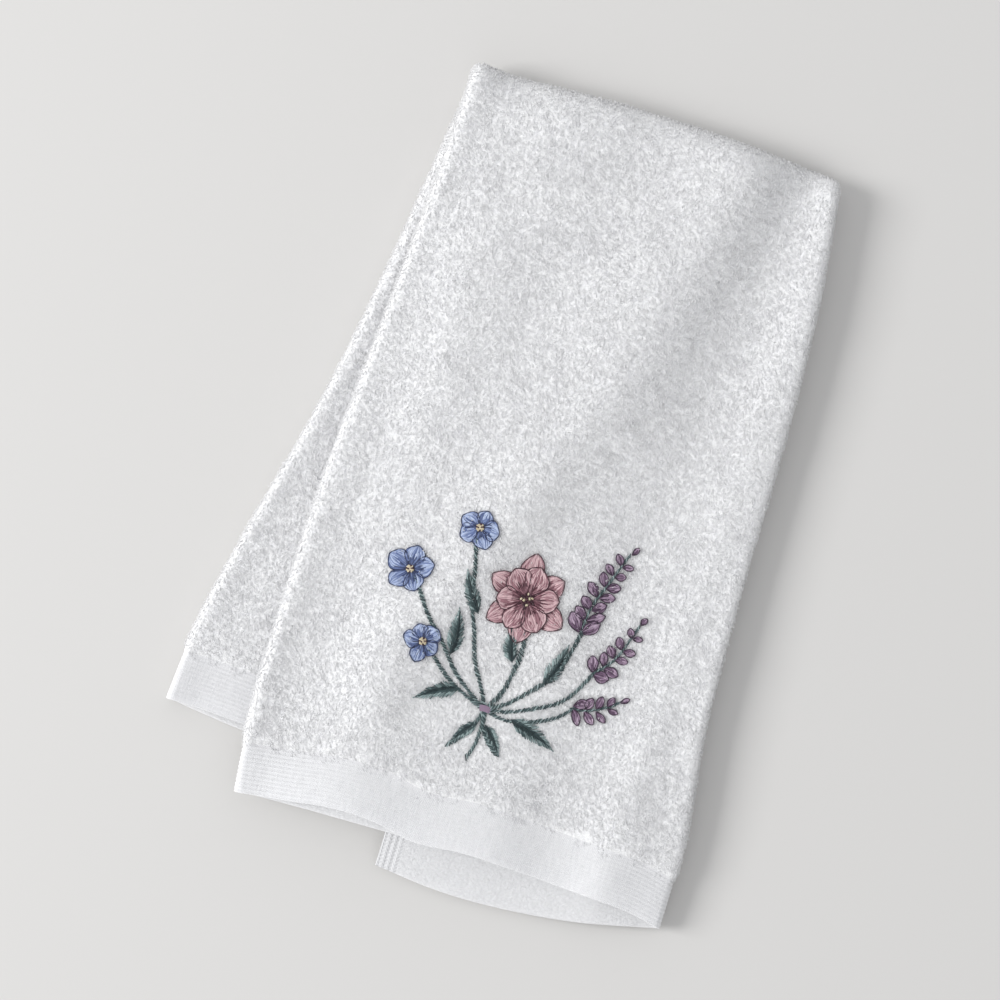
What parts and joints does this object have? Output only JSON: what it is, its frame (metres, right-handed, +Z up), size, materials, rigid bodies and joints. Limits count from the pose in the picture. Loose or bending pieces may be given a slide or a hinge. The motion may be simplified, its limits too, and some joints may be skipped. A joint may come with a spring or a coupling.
{
  "type": "hand towel",
  "caption": "Terry hand towel with flat-woven hem bands and an embroidered posy, folded in thirds lengthways and then once across, lying flat.",
  "frame": {"origin": "on the surface that the towel lies on, under the middle of its box", "axes": "+Z up, +Y from the hems to the cross fold, +X across the folded towel, to the right as its embroidery is read"},
  "size_m": [0.2202, 0.3262, 0.0235],
  "materials": {
    "terry": "matt white looped cotton pile, with flat-woven bands at the hems",
    "embroidery": "satin-stitched thread in blue, dusty pink, mauve and dark green"
  },
  "bodies": {
    "root": {"towel_cloth": "terry"}
  },
  "joints": []
}
